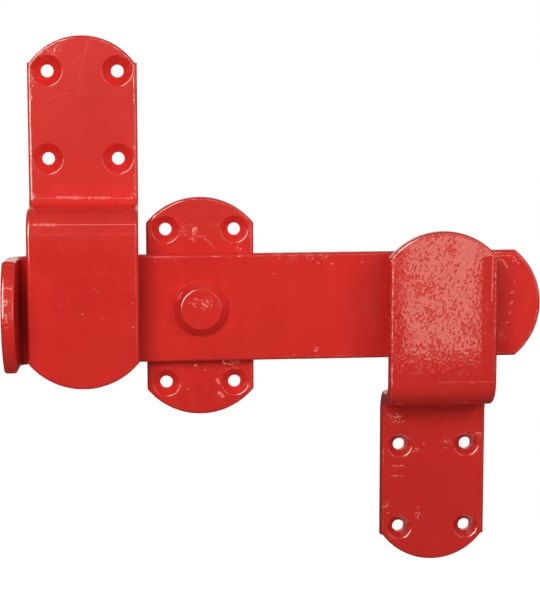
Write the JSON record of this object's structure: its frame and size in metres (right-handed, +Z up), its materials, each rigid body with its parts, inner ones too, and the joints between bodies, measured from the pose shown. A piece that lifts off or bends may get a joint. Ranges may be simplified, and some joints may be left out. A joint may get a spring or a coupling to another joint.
{
  "type": "kickover stable latch",
  "caption": "Flat strip latch for the foot of a stable door: a bar riveted to a plate swings into two folded keeps and is worked with a boot on its upturned tail.",
  "frame": {"origin": "where the axis of the bar's pivot meets the wall plane that all three screw plates sit on", "axes": "+X to the right towards the bar's long end, +Z up, -Y out of the wall towards the user"},
  "size_m": [0.2485, 0.0496, 0.2485],
  "materials": {
    "red_paint": "gloss"
  },
  "bodies": {
    "base": {"pivot_plate": "red_paint", "pivot_rivet": "red_paint", "left_keep": "red_paint", "right_keep": "red_paint"},
    "bar": {"latch_bar": "red_paint"}
  },
  "joints": [
    {"name": "bar_pivot", "type": "hinge", "parent": "base", "child": "bar", "pos_m": [0, -0.0091, 0], "axis": [0, -1, 0], "range_deg": [-6.5, 93.5]}
  ]
}
